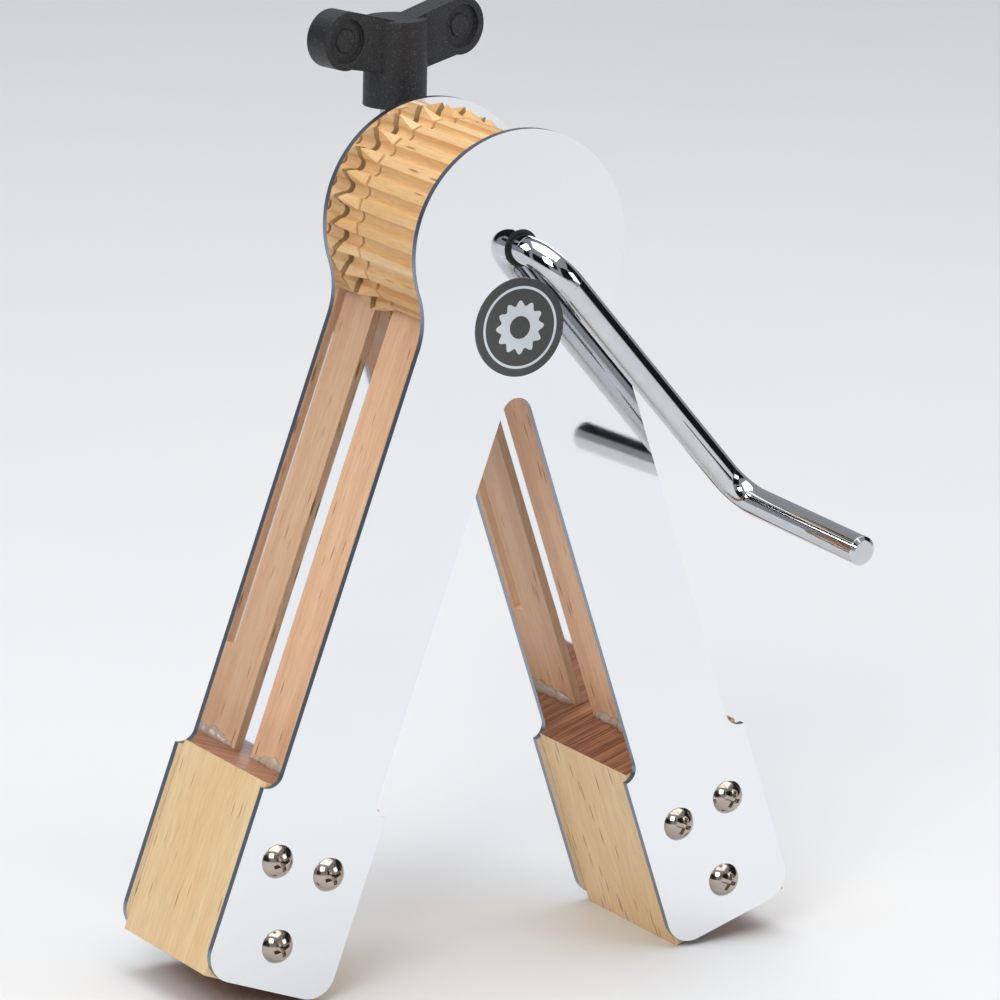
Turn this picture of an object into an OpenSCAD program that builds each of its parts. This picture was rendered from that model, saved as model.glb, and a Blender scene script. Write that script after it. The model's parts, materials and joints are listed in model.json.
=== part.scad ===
// Crank ratchet (cog rattle) that clamps on a percussion rod.
// X runs across the two legs, Y from the crank to the clamp, Z up.
// The origin is the middle of the whole outline, at the level of the feet.

/* [Frame plates] */
// Radius of the round head
head_r = 32; // [31:0.5:34]
// Thickness of a plate
plate_t = 2; // [1.5:0.1:2.5]
// Clear space between the plates
plate_gap = 46.6; // [46:0.2:52]
// Angle of each leg from straight down
leg_angle = 19.14; // [18:0.02:21]
// Length of a leg from the crank axis to its foot
leg_len = 208.5; // [205:0.5:220]
// Inner edge of the narrow part of a leg, from the leg's axis
leg_in = 10.3; // [9:0.1:11]
// Outer edge of the narrow part of a leg, from the leg's axis
leg_out = 20.3; // [19:0.1:21]
// Inner edge of the wide foot, from the leg's axis
foot_in = 14.4; // [14:0.1:15]
// Outer edge of the wide foot, from the leg's axis
foot_out = 24.8; // [24:0.1:25.5]
// Distance from the crank axis to the top of the wide foot
foot_top = 156; // [154:0.5:158]
// Radius of the bottom corners of the plates
foot_corner_r = 7.5; // [6:0.5:9]
// Radius of the neck between head and leg
neck_r = 22; // [18:1:26]
// Radius at the top of the notch between the legs
notch_r = 4.5; // [3:0.5:6]

/* [Wood] */
// How far the foot blocks stand back from the plate edges
block_inset = 1.5; // [1:0.1:2]
// Distance from the crank axis to the top of the foot blocks
block_top = 154.6; // [154:0.2:158]
// Thickness of a tongue board
tongue_t = 2.3; // [2.2:0.1:2.6]
// Inner face of a tongue board, from the leg's axis
tongue_in = 2.4; // [2.3:0.1:2.5]
// Width of a tongue board, over both fingers
tongue_w = 37.6; // [36:0.2:39]
// Width of the slot that splits a board into two fingers
tongue_slot = 4.2; // [3:0.2:5]
// Distance from the crank axis to the end of the slot
slot_end = 128.8; // [120:0.2:132]
// How far a tongue board goes into its block
tongue_tail = 32; // [24:1:34]

/* [Cog] */
// Radius over the teeth
cog_r = 27.8; // [27.6:0.1:28]
// Number of teeth
teeth = 26; // [26:4:26]
// Depth of a flute between the teeth
flute_depth = 1.9; // [1.8:0.1:2]
// Radius of the rounded flute
flute_r = 1.8; // [1.8:0.05:1.9]
// Depth along the axle of the flared rear cog
rear_cog_depth = 7.4; // [6:0.2:8]
// Radius of the rear cog at its widest
rear_cog_r = 30.2; // [29.5:0.1:30.4]

/* [Crank] */
// Diameter of the crank rod
rod_d = 8; // [8:0.5:8]
// Distance of the arm's centre line from the front plate
arm_offset = 14.3; // [13:0.1:18]
// Length of the arm, between the centre lines of axle and grip
arm_len = 93.7; // [80:0.1:100]
// Angle of the arm below the horizontal
arm_angle = 48.6; // [0:0.1:90]
// Length of the grip, from the arm's centre line
grip_len = 57.5; // [50:0.5:65]
// Angle by which the grip leans outwards
grip_lean = 3.7; // [1:0.1:6]
// Radius of the bend at the axle, on the centre line
bend_r = 10; // [9:0.5:11]
// Radius of the bend at the grip, on the centre line
grip_bend_r = 9; // [8:0.5:11]

/* [Rod clamp] */
// Diameter of the rod bore
clamp_bore_d = 9.8; // [9.6:0.1:10]
// Width of the clamp block
clamp_w = 20; // [19:0.5:22]
// Depth of the clamp block behind the rear plate
clamp_depth = 29; // [28:0.5:30]
// Top of the clamp block above the crank axis
clamp_top = 11; // [10.5:0.5:12]
// Height of the clamp block
clamp_h = 28; // [27:0.5:30]
// Distance of the wing bolt's axis behind the rear plate
bolt_offset = 18.9; // [18.5:0.1:19.5]
// Diameter of the wing bolt's threaded stem
bolt_d = 8; // [8:1:8]
// Height of the wing bolt's hub above the crank axis
hub_low = 26.3; // [25:0.1:28]
// Height of the hub
hub_h = 23.9; // [22:0.1:26]
// Diameter of the hub
hub_d = 17.4; // [17:0.1:18]
// Width over both wings
wing_span = 57.6; // [54:0.2:60]
// Thickness of a wing
wing_t = 7.6; // [7:0.1:8.5]
// Radius of a wing's round end
wing_r = 8; // [7:0.1:9]
// Turn of the wings from the line of the plates
wing_turn = 12.8; // [0:0.1:90]

/* [Small parts] */
// Diameter of the badge
badge_d = 26.7; // [24:0.1:26.8]
// Diameter of a frame screw's head
screw_head_d = 9.4; // [9:0.1:10]
// Height of a frame screw's head
screw_head_h = 3.1; // [2.5:0.1:3.5]

/* [Hidden] */
$fn = 64;

// Half of the space between the plates, and the outer face of a plate
inner_y = plate_gap / 2;
outer_y = inner_y + plate_t;
rod_r = rod_d / 2;
eps = 0.01;
// Small step that keeps two touching curves from being exactly tangent
blend = 0.02;

// Foot blocks
block_in = foot_in - block_inset;
block_out = foot_out - block_inset;

// End of the grip, forward of the front plate
grip_chamfer = 1;
crank_reach = arm_offset + grip_len * cos(grip_lean) + (rod_r - grip_chamfer) * sin(grip_lean);
// The crank axis in the part's frame
axis_y = (crank_reach - clamp_depth) / 2;
axis_z = block_in * sin(leg_angle) + leg_len * cos(leg_angle);

// Tips of the fingers, each in a flute
tooth_pitch = 360 / teeth;
tip_angle = 2 * tooth_pitch - leg_angle;
tip_r = 26.9;
tip_u = tip_r * sin(tip_angle);
tip_v = tip_r * cos(tip_angle);
tip_half = 0.6;
tip_taper = 4.4;

// Places along the axle
cog_side = 1.3;
cog_front_y = -inner_y + cog_side;
rear_cog_y = inner_y - cog_side - rear_cog_depth;
spacer_t = 1.3;
spacer_r = 24.6;

// Bushes at the axle
bush_play = 0.05;
bush_hole_r = 5.1;
bush_flange_r = 8;
bush_flange_t = 1;

// Clip on the rear end of the axle
clip_gap = 0.6;
clip_t = 1;
clip_r = 7;
clip_groove_r = 3.2;
axle_tail = 4.4;
pocket_r = 7.6;
pocket_depth = 5.4;

// Screws through each plate into each block, in the leg's own frame
screw_places = [[13.8, 174], [-2.7, 174.3], [5.7, 196.2]];
screw_r = 1.9;
screw_len = 14;
recess_w = 1.1;
recess_len = 4.8;
recess_depth = 1.7;

// Screws that hold the clamp block
clamp_screw_places = [[-6.5, 8], [6.5, 8], [-6.5, -13], [6.5, -13]];
clamp_screw_r = 1.8;
clamp_screw_head_r = 3.4;
clamp_screw_len = 10;

// Rod bore, pad and bolt
clamp_bore_z = -3;
pad_t = 2.2;
pad_r = 3.9;
pad_rest = 0.4;
pad_z = clamp_bore_z + clamp_bore_d / 2 + pad_rest;
bolt_play = 0.1;
stem_in_hub = 12;

// Wings
wing_end_x = wing_span / 2 - wing_r;
wing_end_z = 20;
dimple_r = 6;
dimple_depth = 1.2;
dimple_ring_r = 3.2;
dimple_raise = 0.5;

steel = "gainsboro";
beech = "burlywood";
nickel = "silver";

// ---- Frames ----

// Puts what is drawn around the crank axis in its place in the part
module at_axis() {
    translate([0, axis_y, axis_z]) children();
}

// Thickens an outline drawn in X and Z, from y0 towards the rear
module slab(y0, t) {
    translate([0, y0 + t, 0])
        rotate([90, 0, 0])
            linear_extrude(t) children();
}

// Solid in the frame of one leg, with its second axis along Y
module leg_solid(side) {
    mirror([side < 0 ? 1 : 0, 0, 0])
        rotate([0, -leg_angle, 0]) children();
}

// Mirrors front to rear
module on_side(rear) {
    mirror([0, rear ? 1 : 0, 0]) children();
}

// Cylinder along Y from y0
module rod_y(r, y0, len) {
    translate([0, y0 + len, 0])
        rotate([90, 0, 0]) cylinder(r = r, h = len);
}

// ---- Frame plates ----

// Points of an arc about [u, w], in steps of about three degrees
function arc(u, w, r, from, to) = [
    let(steps = ceil(abs(to - from) / 3))
    for (i = [0 : steps])
        let(a = from + (to - from) * i / steps)
        [u + r * cos(a), w + r * sin(a)]
];

// Turns a point of the right leg's frame into the plate's
function from_leg(p) = [
    p[0] * cos(leg_angle) - p[1] * sin(leg_angle),
    p[0] * sin(leg_angle) + p[1] * cos(leg_angle)
];

// Right half of the outline, from the top of the head round the leg to the notch
neck_u = leg_out + neck_r;
neck_v = sqrt(pow(head_r + neck_r, 2) - pow(neck_u, 2));
neck_angle = atan2(neck_v, neck_u);
out_step = foot_out - leg_out;
in_step = foot_in - leg_in;
notch_centre = (leg_in + notch_r) / sin(leg_angle);
corner_w = -leg_len + foot_corner_r;
half_outline = [
    for (p = concat(
        arc(0, 0, head_r, 90 - leg_angle, -neck_angle),
        arc(neck_u, -neck_v, neck_r, 180 - neck_angle, 180),
        arc(foot_out, -foot_top + out_step, out_step, 180, 270),
        arc(foot_out - foot_corner_r, corner_w, foot_corner_r, 0, -90),
        arc(-foot_in + foot_corner_r, corner_w, foot_corner_r, -90, -180),
        arc(-foot_in, -foot_top + in_step, in_step, -90, 0),
        arc(-notch_centre * sin(leg_angle), -notch_centre * cos(leg_angle),
            notch_r, 0, 90 - leg_angle)
    )) from_leg(p)
];
half_count = len(half_outline);
outline = concat(
    half_outline,
    [for (i = [half_count - 2 : -1 : 1]) [-half_outline[i][0], half_outline[i][1]]]
);

// Sheet in the shape of the letter A, with its holes
module plate(y0) {
    difference() {
        slab(y0, plate_t) polygon(outline);
        rod_y(bush_hole_r, y0 - eps, plate_t + 2 * eps);
        for (side = [-1, 1]) leg_solid(side)
            for (p = screw_places) translate([p[0], 0, -p[1]])
                rod_y(screw_r, y0 - eps, plate_t + 2 * eps);
    }
}

module front_plate() {
    color(steel) at_axis() plate(-outer_y);
}

module rear_plate() {
    color(steel) at_axis() difference() {
        plate(inner_y);
        clamp_screw_bodies();
    }
}

module badge() {
    badge_t = 0.4;
    badge_z = -21.4;
    color("dimgray") at_axis() translate([0, -outer_y, badge_z])
        rotate([90, 0, 0]) cylinder(d = badge_d, h = badge_t);
}

// ---- Foot blocks and tongues ----

module block(side) {
    color(beech) at_axis() difference() {
        leg_solid(side) difference() {
            translate([-block_in, -inner_y, -leg_len])
                cube([block_in + block_out, plate_gap, leg_len - block_top]);
            tongue_body();
        }
        for (rear = [false, true]) on_side(rear) screw_bodies(side);
    }
}

module left_block() { block(-1); }
module right_block() { block(1); }

// Board of one leg, in the leg's frame: two thinned tips and the slot between them
module tongue_body() {
    root_v = block_top + tongue_tail;
    outer_u = tongue_in + tongue_t;
    difference() {
        slab(-tongue_w / 2, tongue_w) polygon([
            [tongue_in, -root_v],
            [outer_u, -root_v],
            [outer_u, -tip_v - tip_taper],
            [tip_u + tip_half, -tip_v],
            [tip_u - tip_half, -tip_v],
            [tongue_in, -tip_v - tip_taper]
        ]);
        translate([tongue_in - eps, -tongue_slot / 2, -slot_end])
            cube([tongue_t + 2 * eps, tongue_slot, slot_end]);
    }
}

module tongue(side) {
    color(beech) at_axis() leg_solid(side) tongue_body();
}

module tongue_left() { tongue(-1); }
module tongue_right() { tongue(1); }

// ---- Frame screws ----

// Domed head on a shank that goes towards the rear from the plate's outer face
module pan_screw() {
    dome_r = (pow(screw_head_d / 2, 2) + pow(screw_head_h, 2)) / (2 * screw_head_h);
    difference() {
        intersection() {
            translate([0, dome_r - screw_head_h, 0]) sphere(dome_r);
            rod_y(screw_head_d / 2, -screw_head_h, screw_head_h);
        }
        for (turn = [40, 130]) rotate([0, turn, 0])
            translate([-recess_len / 2, -screw_head_h - eps, -recess_w / 2])
                cube([recess_len, recess_depth, recess_w]);
    }
    rod_y(screw_r, 0, screw_len);
}

// The three screws of one leg on the front plate
module screw_bodies(side) {
    leg_solid(side) for (p = screw_places)
        translate([p[0], -outer_y, -p[1]]) pan_screw();
}

module screws(side, rear) {
    color(nickel) at_axis() on_side(rear) screw_bodies(side);
}

module front_screws_left() { screws(-1, false); }
module front_screws_right() { screws(1, false); }
module rear_screws_left() { screws(-1, true); }
module rear_screws_right() { screws(1, true); }

// ---- Cog, axle and crank ----

// Ring of flutes: a round bottom that opens outwards
module flutes() {
    flute_centre = cog_r - flute_depth + flute_r;
    flare_w = 4.2;
    flare_h = 3.4;
    for (i = [0 : teeth - 1]) rotate(-90 + i * tooth_pitch)
        translate([flute_centre, 0]) {
            circle(flute_r);
            polygon([[0, -flute_r], [flare_h, -flare_w], [flare_h, flare_w], [0, flute_r]]);
        }
}

module front_cog() {
    len = rear_cog_y - spacer_t - cog_front_y;
    color("sandybrown") at_axis() difference() {
        slab(cog_front_y, len) difference() {
            circle(cog_r);
            flutes();
            circle(rod_r);
        }
        pins();
    }
}

module rear_cog() {
    color("sandybrown") at_axis() difference() {
        translate([0, rear_cog_y, 0]) rotate([-90, 0, 0])
            cylinder(h = rear_cog_depth, r1 = cog_r, r2 = rear_cog_r);
        slab(rear_cog_y - eps, rear_cog_depth + 2 * eps) {
            flutes();
            circle(rod_r);
        }
        pins();
    }
}

module cog_spacer() {
    color("black") at_axis() slab(rear_cog_y - spacer_t, spacer_t) difference() {
        circle(spacer_r);
        circle(rod_r);
    }
}

// Pins that key the two cogs to the axle
module pins() {
    pin_d = 3;
    pin_back = 10;
    pin_front = 25.4;
    front_pin_y = -8;
    for (y = [front_pin_y, rear_cog_y + rear_cog_depth / 2])
        translate([-pin_back, y, 0])
            rotate([0, 90, 0]) cylinder(d = pin_d, h = pin_back + pin_front);
}

module cog_pins() {
    color(nickel) at_axis() pins();
}

// Flanged bush: the sleeve lines the plate and the flange keeps the cog off it
module bush() {
    difference() {
        union() {
            rod_y(bush_hole_r, -outer_y, plate_t);
            rod_y(bush_flange_r, -inner_y, bush_flange_t);
        }
        rod_y(rod_r + bush_play, -outer_y - eps, plate_t + bush_flange_t + 2 * eps);
    }
}

module front_bush() { color("black") at_axis() bush(); }
module rear_bush() { color("black") at_axis() on_side(true) bush(); }

// Axle, arm and grip, bent from one rod
module crank_rod() {
    corner_y = -outer_y - arm_offset;
    axle_len = outer_y + axle_tail - corner_y - bend_r;
    turn = 90 - grip_lean;
    setback = grip_bend_r * tan(turn / 2);
    grip_straight = grip_len - setback - grip_chamfer;
    color("silver") at_axis() difference() {
        rotate([0, arm_angle, 0]) {
            rod_y(rod_r, corner_y + bend_r, axle_len);
            translate([bend_r, corner_y + bend_r, 0]) rotate(180)
                rotate_extrude(angle = 90) translate([bend_r, 0]) circle(rod_r - blend);
            translate([bend_r, corner_y, 0]) rotate([0, 90, 0])
                cylinder(r = rod_r, h = arm_len - bend_r - setback + blend);
            translate([arm_len - setback, corner_y - grip_bend_r, 0]) rotate(grip_lean) {
                rotate_extrude(angle = turn) translate([grip_bend_r, 0]) circle(rod_r - blend);
                translate([grip_bend_r, 0, 0]) rotate([90, 0, 0]) {
                    cylinder(r = rod_r, h = grip_straight);
                    translate([0, 0, grip_straight])
                        cylinder(r1 = rod_r, r2 = rod_r - grip_chamfer, h = grip_chamfer);
                }
            }
        }
        pins();
        difference() {
            rod_y(rod_r + eps, outer_y + clip_gap, clip_t);
            rod_y(clip_groove_r, outer_y + clip_gap - eps, clip_t + 2 * eps);
        }
    }
}

module axle_clip() {
    mouth_w = 5.4;
    color(nickel) at_axis() slab(outer_y + clip_gap, clip_t) difference() {
        circle(clip_r);
        circle(clip_groove_r);
        translate([-mouth_w / 2, -clip_r - eps]) square([mouth_w, clip_r]);
    }
}

// ---- Rod clamp ----

// Puts what is drawn around the wing bolt's axis in its place
module at_bolt() {
    at_axis() translate([0, outer_y + bolt_offset, 0]) children();
}

module clamp_block() {
    clamp_low = clamp_top - clamp_h;
    color("darkslategray") difference() {
        at_axis() difference() {
            translate([-clamp_w / 2, outer_y, clamp_low])
                cube([clamp_w, clamp_depth, clamp_h]);
            rod_y(pocket_r, outer_y - eps, pocket_depth);
            clamp_screw_bodies();
        }
        at_bolt() {
            translate([0, 0, clamp_bore_z]) rotate([0, 90, 0])
                translate([0, 0, -clamp_w])
                    cylinder(d = clamp_bore_d, h = 2 * clamp_w);
            translate([0, 0, clamp_bore_z])
                cylinder(r = bolt_d / 2 + bolt_play, h = clamp_h);
        }
    }
}

// Countersunk screws from inside the rear plate into the clamp block
module clamp_screw_bodies() {
    for (p = clamp_screw_places) translate([p[0], inner_y, p[1]]) rotate([-90, 0, 0]) {
        cylinder(r1 = clamp_screw_head_r, r2 = clamp_screw_r, h = plate_t);
        cylinder(r = clamp_screw_r, h = clamp_screw_len);
    }
}

module clamp_screws() {
    slot_w = 0.9;
    slot_depth = 0.8;
    color(nickel) at_axis() difference() {
        clamp_screw_bodies();
        for (p = clamp_screw_places) translate([p[0], inner_y, p[1]])
            translate([-clamp_screw_head_r, -eps, -slot_w / 2])
                cube([2 * clamp_screw_head_r, slot_depth, slot_w]);
    }
}

module pressure_pad() {
    color("goldenrod") at_bolt() translate([0, 0, pad_z]) cylinder(r = pad_r, h = pad_t);
}

module bolt_stem() {
    low = pad_z + pad_t;
    color(nickel) at_bolt() translate([0, 0, low])
        cylinder(d = bolt_d, h = hub_low + stem_in_hub - low);
}

// One wing: a round end joined to the hub, with a dimple on each face
module wing() {
    low_root = 8.3;
    high_root = hub_h - 0.8;
    difference() {
        slab(-wing_t / 2, wing_t) {
            polygon([
                [0, low_root],
                [wing_end_x - 1.6, wing_end_z - wing_r + 0.16],
                [wing_end_x + 1, wing_end_z],
                [wing_end_x - 1, wing_end_z + wing_r - 0.06],
                [0, high_root]
            ]);
            translate([wing_end_x, wing_end_z]) circle(wing_r);
        }
        for (face = [-1, 1]) translate([wing_end_x, face * wing_t / 2, wing_end_z])
            rotate([90, 0, 0]) difference() {
                cylinder(r = dimple_r, h = 2 * dimple_depth, center = true);
                translate([0, 0, face * dimple_depth])
                    cylinder(r = dimple_ring_r, h = 2 * dimple_raise, center = true);
            }
    }
}

module wing_knob() {
    color("black") at_bolt() translate([0, 0, hub_low]) rotate(wing_turn) difference() {
        union() {
            cylinder(d = hub_d, h = hub_h);
            wing();
            mirror([1, 0, 0]) wing();
        }
        translate([0, 0, -eps]) cylinder(d = bolt_d, h = stem_in_hub + eps);
    }
}

front_plate();
rear_plate();
left_block();
right_block();
tongue_left();
tongue_right();
front_screws_left();
front_screws_right();
rear_screws_left();
rear_screws_right();
badge();
front_bush();
rear_bush();
front_cog();
cog_spacer();
rear_cog();
cog_pins();
crank_rod();
axle_clip();
clamp_block();
clamp_screws();
pressure_pad();
bolt_stem();
wing_knob();
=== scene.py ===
"""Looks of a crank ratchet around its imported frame: materials, small trim, light and camera."""
import json
import math
import random

import bmesh
import bpy
from mathutils import Matrix, Vector


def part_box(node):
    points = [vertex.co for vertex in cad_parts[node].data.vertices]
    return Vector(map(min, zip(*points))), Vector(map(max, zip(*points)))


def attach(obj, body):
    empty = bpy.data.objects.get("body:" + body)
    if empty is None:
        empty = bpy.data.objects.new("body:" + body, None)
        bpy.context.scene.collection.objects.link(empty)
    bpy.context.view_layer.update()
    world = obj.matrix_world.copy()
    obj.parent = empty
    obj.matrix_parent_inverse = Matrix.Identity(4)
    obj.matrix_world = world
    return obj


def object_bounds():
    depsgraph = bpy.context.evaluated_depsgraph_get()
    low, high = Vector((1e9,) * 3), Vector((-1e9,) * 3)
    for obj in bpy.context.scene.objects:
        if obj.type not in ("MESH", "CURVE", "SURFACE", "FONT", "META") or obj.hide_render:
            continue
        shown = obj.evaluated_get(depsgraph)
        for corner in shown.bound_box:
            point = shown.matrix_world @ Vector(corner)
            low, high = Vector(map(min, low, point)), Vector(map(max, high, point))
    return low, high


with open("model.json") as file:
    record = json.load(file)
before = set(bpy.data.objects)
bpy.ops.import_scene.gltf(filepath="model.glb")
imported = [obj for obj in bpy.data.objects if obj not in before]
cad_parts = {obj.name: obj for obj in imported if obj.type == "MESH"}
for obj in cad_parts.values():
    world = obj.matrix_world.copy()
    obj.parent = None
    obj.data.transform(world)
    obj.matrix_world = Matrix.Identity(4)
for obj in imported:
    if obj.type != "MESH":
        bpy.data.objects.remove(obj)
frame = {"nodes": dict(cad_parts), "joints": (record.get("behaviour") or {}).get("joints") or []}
CAD_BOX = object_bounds()
random.seed(7)

MM = 0.001
NODES = frame["nodes"]
BLACK = (0, 0, 0, 1)
WHITE = (1, 1, 1, 1)

# Leg frame in millimetres: u outward and v down the leg, both from the crank axis
LEG_ANGLE = math.radians(19.14)
BOARD_IN = 2.4
BOARD_OUT = 4.7
BLOCK_TOP = 154.6

# Badge print, radii in metres
ROSETTE_LOBES = 12
ROSETTE_R = 6.6 * MM
ROSETTE_WAVE = 0.7 * MM
ROSETTE_HOLE_R = 3.1 * MM
RING_IN_R = 10.5 * MM
RING_OUT_R = 11.2 * MM

# Glue beads, in millimetres
BEAD_HALF_LENGTH = 18.6
BEAD_STEPS = 60
BEAD_FAN = 7
BEAD_HIGH = 2.9
BEAD_WIDE = 1.7
BEAD_SINK = 0.05


# ---- Places read from the frame ----

def joint(name):
    return next(j for j in frame["joints"] if j["name"] == name)


AXIS = Vector(joint("crank_spin")["pos_m"])
BADGE_LOW, BADGE_HIGH = (Vector(p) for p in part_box("badge"))


def leg_point(side, u, y, v):
    """Point of a leg's frame in the part's frame, in metres. side is -1 or 1."""
    across = u * math.cos(LEG_ANGLE) + v * math.sin(LEG_ANGLE)
    up = u * math.sin(LEG_ANGLE) - v * math.cos(LEG_ANGLE)
    return AXIS + MM * Vector((side * across, y, up))


def add_mesh(name, work, material):
    """Object made from a bmesh, with one material."""
    mesh = bpy.data.meshes.new(name)
    work.to_mesh(mesh)
    work.free()
    mesh.materials.append(material)
    made = bpy.data.objects.new(name, mesh)
    bpy.context.scene.collection.objects.link(made)
    return made


# ---- Shader helpers ----

def srgb(r, g, b):
    """Linear colour from 0 to 255 display values."""
    def line(v):
        v /= 255
        return v / 12.92 if v <= 0.04045 else ((v + 0.055) / 1.055) ** 2.4
    return (line(r), line(g), line(b), 1)


class Shader:
    """One material and short calls for its nodes."""

    def __init__(self, name):
        self.material = bpy.data.materials.new(name)
        self.material.use_nodes = True
        self.tree = self.material.node_tree
        self.bsdf = self.tree.nodes["Principled BSDF"]

    def node(self, kind, **values):
        made = self.tree.nodes.new(kind)
        for key, value in values.items():
            if hasattr(made, key):
                setattr(made, key, value)
            else:
                made.inputs[key.replace("_", " ")].default_value = value
        return made

    def link(self, source, target):
        self.tree.links.new(source, target)

    def grain_space(self, turn, size):
        """Object coordinates turned by turn about Y and measured in cells of size (metres)."""
        place = self.node("ShaderNodeTexCoord")
        mapping = self.node("ShaderNodeMapping", vector_type="TEXTURE")
        mapping.inputs["Rotation"].default_value = (0, turn, 0)
        mapping.inputs["Scale"].default_value = size
        self.link(place.outputs["Object"], mapping.inputs["Vector"])
        return mapping.outputs["Vector"]

    def noise(self, space, scale=1.0, detail=4.0, rough=0.55, warp=0.0):
        made = self.node("ShaderNodeTexNoise")
        made.inputs["Scale"].default_value = scale
        made.inputs["Detail"].default_value = detail
        made.inputs["Roughness"].default_value = rough
        made.inputs["Distortion"].default_value = warp
        self.link(space, made.inputs["Vector"])
        return made.outputs["Fac"]

    def ramp(self, source, stops):
        made = self.node("ShaderNodeValToRGB")
        band = made.color_ramp
        while len(band.elements) < len(stops):
            band.elements.new(0.5)
        for element, (at, colour) in zip(band.elements, stops):
            element.position = at
            element.color = colour if len(colour) == 4 else (*colour, 1)
        self.link(source, made.inputs["Fac"])
        return made.outputs["Color"]

    def math(self, kind, a, b=0.0):
        made = self.node("ShaderNodeMath", operation=kind)
        for slot, value in zip(made.inputs, (a, b)):
            if isinstance(value, (int, float)):
                slot.default_value = value
            else:
                self.link(value, slot)
        return made.outputs[0]

    def mix(self, factor, a, b, kind="MIX"):
        made = self.node("ShaderNodeMix", data_type="RGBA", blend_type=kind)
        for slot, value in ((made.inputs[0], factor), (made.inputs[6], a), (made.inputs[7], b)):
            if isinstance(value, (int, float, tuple)):
                slot.default_value = value
            else:
                self.link(value, slot)
        return made.outputs[2]

    def bump(self, height, depth, strength=1.0, rounding=None):
        made = self.node("ShaderNodeBump")
        made.inputs["Strength"].default_value = strength
        made.inputs["Distance"].default_value = depth
        self.link(height, made.inputs["Height"])
        if rounding is not None:
            self.link(rounding, made.inputs["Normal"])
        self.link(made.outputs["Normal"], self.bsdf.inputs["Normal"])

    def rounded(self, radius):
        made = self.node("ShaderNodeBevel")
        made.samples = 6
        made.inputs["Radius"].default_value = radius
        return made.outputs["Normal"]

    def put(self, name, value):
        slot = self.bsdf.inputs[name]
        if isinstance(value, (int, float, tuple)):
            slot.default_value = value
        else:
            self.link(value, slot)


# ---- Materials ----

def wood(name, turn, along, pale, deep, fleck, fleck_amount, end_grain=None):
    """Wood with its grain along one axis after a turn about Y.

    along is 1 or 2 for the grain's axis. Flecks are the short dark rays of beech, and
    end_grain is a pair of tones for the growth rings on faces across the grain.
    """
    def cells(across, length):
        size = [across * MM] * 3
        size[along] = length * MM
        return tuple(size)

    s = Shader(name)
    broad = s.noise(s.grain_space(turn, cells(7, 90)), detail=3, warp=0.4)
    fibre = s.noise(s.grain_space(turn, cells(1.6, 40)), detail=6, rough=0.65)
    fine = s.noise(s.grain_space(turn, cells(0.22, 6)), detail=3)
    colour = s.mix(s.ramp(broad, [(0.3, BLACK), (0.7, WHITE)]), pale, deep)
    colour = s.mix(s.ramp(fibre, [(0.42, BLACK), (0.72, (0.75, 0.75, 0.75))]), colour, deep)
    rays = s.node("ShaderNodeTexVoronoi", feature="F1")
    rays.inputs["Scale"].default_value = 1
    s.link(s.grain_space(turn, cells(1.5, 13)), rays.inputs["Vector"])
    chosen = s.node("ShaderNodeSeparateColor")
    s.link(rays.outputs["Color"], chosen.inputs["Color"])
    keep = s.math("LESS_THAN", chosen.outputs[0], fleck_amount)
    spot = s.ramp(rays.outputs["Distance"], [(0.14, WHITE), (0.27, BLACK)])
    mask = s.math("MULTIPLY", spot, keep)
    colour = s.mix(s.math("MULTIPLY", mask, 0.85), colour, fleck)
    colour = s.mix(0.35, colour, s.ramp(fine, [(0.35, (0.55, 0.5, 0.45)), (0.6, WHITE)]),
                   "MULTIPLY")
    if end_grain:
        facing = s.node("ShaderNodeVectorMath", operation="DOT_PRODUCT")
        s.link(s.node("ShaderNodeNewGeometry").outputs["True Normal"], facing.inputs[0])
        facing.inputs[1].default_value = (math.sin(turn), 0, math.cos(turn))
        across = s.math("GREATER_THAN", s.math("ABSOLUTE", facing.outputs["Value"]), 0.9)
        rings = s.noise(s.grain_space(turn + 0.35, (30 * MM, 1.1 * MM, 9 * MM)), detail=3, warp=0.5)
        rings = s.mix(s.ramp(rings, [(0.4, BLACK), (0.6, WHITE)]), *end_grain)
        colour = s.mix(across, colour, rings)
    s.put("Base Color", colour)
    s.put("Roughness", s.ramp(fibre, [(0.3, (0.36, 0.36, 0.36)), (0.8, (0.52, 0.52, 0.52))]))
    s.put("Coat Weight", 0.12)
    s.put("Coat Roughness", 0.3)
    height = s.math("SUBTRACT", fine, s.math("MULTIPLY", mask, 0.8))
    s.bump(height, 0.00006, 0.6, s.rounded(0.0005))
    return s.material


def mirror_sheet():
    """Polished sheet: faint polishing haze on the faces and a brushed cut edge, whose dark bluish
    colour is painted shade.
    """
    s = Shader("polished_sheet")
    place = s.node("ShaderNodeTexCoord").outputs["Object"]
    side = s.node("ShaderNodeSeparateXYZ")
    s.link(s.node("ShaderNodeNewGeometry").outputs["True Normal"], side.inputs[0])
    edge = s.math("LESS_THAN", s.math("ABSOLUTE", side.outputs["Y"]), 0.6)
    haze = s.noise(place, 45, 5, 0.6)
    swirl = s.noise(s.grain_space(0, (0.04, 0.04, 0.0004)), detail=3)
    s.put("Metallic", 1.0)
    # The cut edge gets a dark bluish base colour, which is painted shade for the shadow the edge
    # sits in; its higher roughness is the real brushed finish.
    s.put("Base Color", s.mix(edge, (0.86, 0.875, 0.895, 1), (0.24, 0.28, 0.34, 1)))
    smooth = s.ramp(haze, [(0.35, (0.035,) * 3), (0.75, (0.075,) * 3)])
    s.put("Roughness", s.mix(edge, smooth, (0.28, 0.28, 0.28, 1)))
    s.bump(swirl, 0.000004, 0.25)
    return s.material


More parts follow.
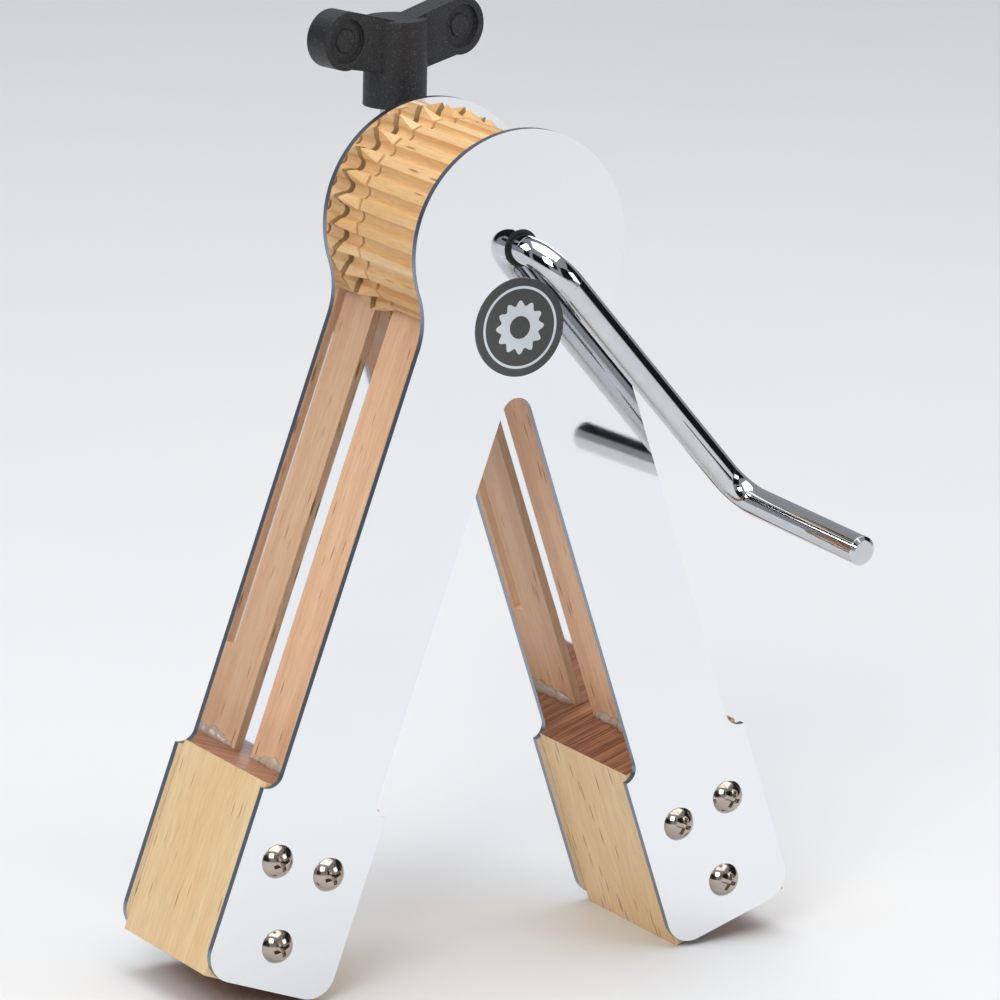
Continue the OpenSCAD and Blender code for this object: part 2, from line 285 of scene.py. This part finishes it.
def polished(name, colour, rough_low, rough_high, bump=0.000004):
    """Plated or polished round metal with slight wear in its gloss."""
    s = Shader(name)
    place = s.node("ShaderNodeTexCoord").outputs["Object"]
    wear = s.noise(place, 160, 6, 0.6)
    s.put("Metallic", 1.0)
    s.put("Base Color", s.mix(s.ramp(wear, [(0.3, BLACK), (0.8, WHITE)]), colour,
                              tuple(0.88 * c for c in colour[:3]) + (1,)))
    s.put("Roughness", s.ramp(wear, [(0.3, (rough_low,) * 3), (0.75, (rough_high,) * 3)]))
    s.bump(s.noise(place, 900, 3), bump, 0.4, s.rounded(0.0003))
    return s.material


def moulded(name, colour, speck, grain, depth):
    """Black moulded or coated surface with a pebbled grain and small bright specks."""
    s = Shader(name)
    place = s.node("ShaderNodeTexCoord").outputs["Object"]
    pebble = s.noise(place, 1 / grain, 4, 0.6)
    specks = s.ramp(s.noise(place, 2.4 / grain, 2, 0.5), [(0.6, BLACK), (0.72, WHITE)])
    s.put("Base Color", s.mix(s.math("MULTIPLY", specks, 0.7), colour, speck))
    s.put("Roughness", s.ramp(pebble, [(0.3, (0.38,) * 3), (0.7, (0.62,) * 3)]))
    s.put("Specular IOR Level", 0.5)
    s.bump(pebble, depth, 0.9, s.rounded(0.0006))
    return s.material


def badge_print():
    """Dark disc with a plain printed ring and a twelve-lobed rosette."""
    s = Shader("badge_print")
    centre = (BADGE_LOW + BADGE_HIGH) / 2
    place = s.node("ShaderNodeTexCoord").outputs["Object"]
    split = s.node("ShaderNodeSeparateXYZ")
    s.link(place, split.inputs[0])
    x = s.math("SUBTRACT", split.outputs["X"], centre.x)
    z = s.math("SUBTRACT", split.outputs["Z"], centre.z)
    radius = s.math("SQRT", s.math("ADD", s.math("MULTIPLY", x, x), s.math("MULTIPLY", z, z)))
    lobes = s.math("COSINE", s.math("MULTIPLY", s.math("ARCTAN2", x, z), ROSETTE_LOBES))
    rosette_edge = s.math("ADD", s.math("MULTIPLY", lobes, ROSETTE_WAVE), ROSETTE_R)
    rosette = s.math("MULTIPLY", s.math("LESS_THAN", radius, rosette_edge),
                     s.math("GREATER_THAN", radius, ROSETTE_HOLE_R))
    ring = s.math("MULTIPLY", s.math("LESS_THAN", radius, RING_OUT_R),
                  s.math("GREATER_THAN", radius, RING_IN_R))
    ink = s.math("MAXIMUM", rosette, ring)
    tooth = s.noise(place, 2200, 3)
    dark = s.mix(s.ramp(tooth, [(0.3, BLACK), (0.7, WHITE)]), srgb(66, 66, 66), srgb(74, 74, 74))
    s.put("Base Color", s.mix(ink, dark, srgb(216, 224, 228)))
    s.put("Roughness", s.ramp(tooth, [(0.3, (0.34,) * 3), (0.7, (0.46,) * 3)]))
    s.bump(tooth, 0.00001, 0.5)
    return s.material


def clear_glue():
    """Dried clear wood glue, slightly milky."""
    s = Shader("clear_glue")
    cloud = s.noise(s.node("ShaderNodeTexCoord").outputs["Object"], 700, 3)
    s.put("Base Color", s.mix(cloud, srgb(226, 214, 196), srgb(247, 240, 228)))
    s.put("Roughness", s.ramp(cloud, [(0.3, (0.1,) * 3), (0.8, (0.22,) * 3)]))
    s.put("Transmission Weight", 0.55)
    s.put("IOR", 1.46)
    s.bump(cloud, 0.0001, 0.5)
    return s.material


def dress(nodes, material):
    """Gives CAD nodes one material in every slot."""
    for name in nodes:
        thing = NODES[name]
        if not thing.material_slots:
            thing.data.materials.append(material)
        for slot in thing.material_slots:
            slot.material = material


BEECH_FLECK = srgb(134, 78, 46)
END_GRAIN = (srgb(190, 134, 98), srgb(128, 80, 54))
for side, turn in (("left", LEG_ANGLE), ("right", -LEG_ANGLE)):
    dress([f"tongue_{side}"],
          wood(f"beech_tongue_{side}", turn, 2, srgb(252, 214, 176), srgb(236, 184, 142),
               BEECH_FLECK, 0.55))
    dress([f"{side}_block"],
          wood(f"beech_block_{side}", turn, 2, srgb(250, 222, 174), srgb(240, 202, 150),
               srgb(186, 128, 76), 0.4, END_GRAIN))
dress(["front_cog", "rear_cog"],
      wood("cog_wood", 0, 1, srgb(250, 214, 160), srgb(234, 184, 122), srgb(176, 112, 60), 0.16))
dress(["front_plate", "rear_plate"], mirror_sheet())
dress(["crank_rod"], polished("crank_chrome", (0.62, 0.63, 0.65, 1), 0.02, 0.05))
dress(["axle_clip", "cog_pins", "clamp_screws", "bolt_stem"],
      polished("zinc_steel", (0.62, 0.62, 0.6, 1), 0.16, 0.3))
# Screws: a warm brownish grey, partly the nickel's own colour and partly a painted reflection of
# the wood around them.
dress([n for n in NODES if "_screws_" in n],
      polished("nickel_with_painted_reflection", (0.50, 0.43, 0.37, 1), 0.1, 0.2))
dress(["pressure_pad"], polished("turned_brass", (0.72, 0.52, 0.24, 1), 0.2, 0.34))
dress(["wing_knob"], moulded("grained_nylon", (0.012, 0.012, 0.014, 1),
                             (0.16, 0.16, 0.17, 1), 0.0007, 0.00012))
dress(["clamp_block"], moulded("powder_coat", (0.014, 0.014, 0.015, 1),
                               (0.08, 0.08, 0.085, 1), 0.0005, 0.00006))
dress(["front_bush", "rear_bush", "cog_spacer"],
      moulded("black_bush", (0.01, 0.01, 0.01, 1), (0.03, 0.03, 0.03, 1), 0.0012, 0.00002))
dress(["badge"], badge_print())


# ---- Glue beads at the roots of the tongue boards ----

def bead_section(t, phase):
    """Points [away from the board, up from the block] at share t of the bead's length."""
    swell = math.sin(math.pi * min(1, 0.06 + t * 0.98)) ** 0.3
    wave = 0.16 * math.sin(19 * t + phase) + 0.1 * math.sin(47 * t + 2 * phase)
    high = (BEAD_HIGH + 3 * wave) * swell
    wide = (BEAD_WIDE + 2 * wave) * swell
    turns = [k / (BEAD_FAN - 1) * math.pi / 2 for k in range(BEAD_FAN)]
    return [(0, 0)] + [(wide * math.sin(a) ** 0.8, high * math.cos(a) ** 0.8) for a in turns]


def glue_bead(name, side, face_u, outward, material):
    """Uneven rounded bead in the corner between a board's face and its block's top."""
    work = bmesh.new()
    phase = random.uniform(0, math.tau)
    rows = []
    for i in range(BEAD_STEPS + 1):
        t = i / BEAD_STEPS
        y = (2 * t - 1) * BEAD_HALF_LENGTH
        rows.append([
            work.verts.new(leg_point(side, face_u + outward * (away - BEAD_SINK), y,
                                     BLOCK_TOP - up + BEAD_SINK))
            for away, up in bead_section(t, phase)])
    for low, high in zip(rows, rows[1:]):
        for k in range(len(low)):
            n = (k + 1) % len(low)
            work.faces.new((low[k], low[n], high[n], high[k]))
    for end in (rows[0], rows[-1]):
        work.faces.new(end)
    bmesh.ops.recalc_face_normals(work, faces=work.faces)
    for face in work.faces:
        face.smooth = len(face.verts) == 4
    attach(add_mesh(name, work, material), "frame")


glue = clear_glue()
for word, side in (("left", -1), ("right", 1)):
    glue_bead(f"glue_bead_{word}_inner", side, BOARD_IN, -1, glue)
    glue_bead(f"glue_bead_{word}_outer", side, BOARD_OUT, 1, glue)


# ---- Floor, light and camera ----

def area(name, at, aim, size, power, colour=(1, 1, 1)):
    """Rectangular light at a place, turned to its aim."""
    data = bpy.data.lights.new(name, "AREA")
    data.shape = "RECTANGLE"
    data.size, data.size_y = size
    data.energy = power
    data.color = colour
    lamp = bpy.data.objects.new(name, data)
    bpy.context.scene.collection.objects.link(lamp)
    lamp.location = at
    lamp.rotation_euler = (Vector(aim) - Vector(at)).to_track_quat("-Z", "Y").to_euler()


def floor():
    work = bmesh.new()
    bmesh.ops.create_grid(work, x_segments=2, y_segments=2, size=6)
    s = Shader("pale_floor")
    tone = s.noise(s.node("ShaderNodeTexCoord").outputs["Object"], 6, 3)
    s.put("Base Color", s.mix(tone, (0.80, 0.805, 0.815, 1), (0.84, 0.845, 0.85, 1)))
    s.put("Roughness", 0.7)
    made = add_mesh("studio_floor", work, s.material)
    made.location.z = CAD_BOX[0][2]


def flag(name, turn, wide, low, high):
    """Black studio card that stands off the set and darkens what the chrome reflects."""
    work = bmesh.new()
    centre = Vector((math.sin(turn), -math.cos(turn), 0)) * FLAG_DISTANCE
    along = Vector((math.cos(turn), math.sin(turn), 0)) * wide / 2
    work.faces.new([work.verts.new(centre + k * along + Vector((0, 0, z)))
                    for k, z in ((-1, low), (1, low), (1, high), (-1, high))])
    s = Shader(name)
    s.put("Base Color", (0.004, 0.004, 0.005, 1))
    s.put("Roughness", 0.9)
    add_mesh(name, work, s.material)


FLAG_DISTANCE = 2.7
# Name, turn from the front (radians), width, lower and upper edge (metres)
FLAGS = (
    ("flag_front", 0.15, 2.3, 0.1, 2.2),
    ("flag_left", -1.35, 2.2, 0.0, 1.9),
    ("flag_right", 1.25, 2.6, 0.05, 2.6),
    ("flag_left_back", -2.3, 1.4, 0.3, 1.6),
    ("flag_near", -0.62, 1.2, 0.9, 2.4),
)

floor()
for card in FLAGS:
    flag(*card)
HEART = (0, AXIS.y, 0.13)
area("key_light", (-1.3, -1.1, 1.3), HEART, (0.9, 0.9), 17, (1, 0.985, 0.96))
area("top_light", (0.1, 0.1, 2.2), (0, 0, 0), (2.4, 2.4), 40)
area("fill_light", (1.5, -1.6, 0.9), HEART, (1.0, 0.9), 8, (0.95, 0.975, 1))
world = bpy.data.worlds.new("soft_studio")
world.use_nodes = True
sky = world.node_tree.nodes["Background"]
sky.inputs["Color"].default_value = (0.92, 0.95, 1, 1)
sky.inputs["Strength"].default_value = 0.4
bpy.context.scene.world = world
bpy.context.scene.view_settings.view_transform = "Standard"

CAMERA_FROM_AXIS = Vector((-0.93588, -1.61072, 0.38967))
VIEW_TURN = math.radians(30.43)
VIEW_DOWN = math.radians(13.98)
VIEW_ROLL = math.radians(1.40)
camera_data = bpy.data.cameras.new("camera")
camera_data.sensor_width = 36
camera_data.lens = 256.4
camera_data.clip_end = 20
camera = bpy.data.objects.new("camera", camera_data)
bpy.context.scene.collection.objects.link(camera)
camera.location = AXIS + CAMERA_FROM_AXIS
camera.rotation_euler = (Matrix.Rotation(-VIEW_TURN, 3, "Z")
                         @ Matrix.Rotation(math.pi / 2 - VIEW_DOWN, 3, "X")
                         @ Matrix.Rotation(VIEW_ROLL, 3, "Z")).to_euler()
bpy.context.scene.camera = camera
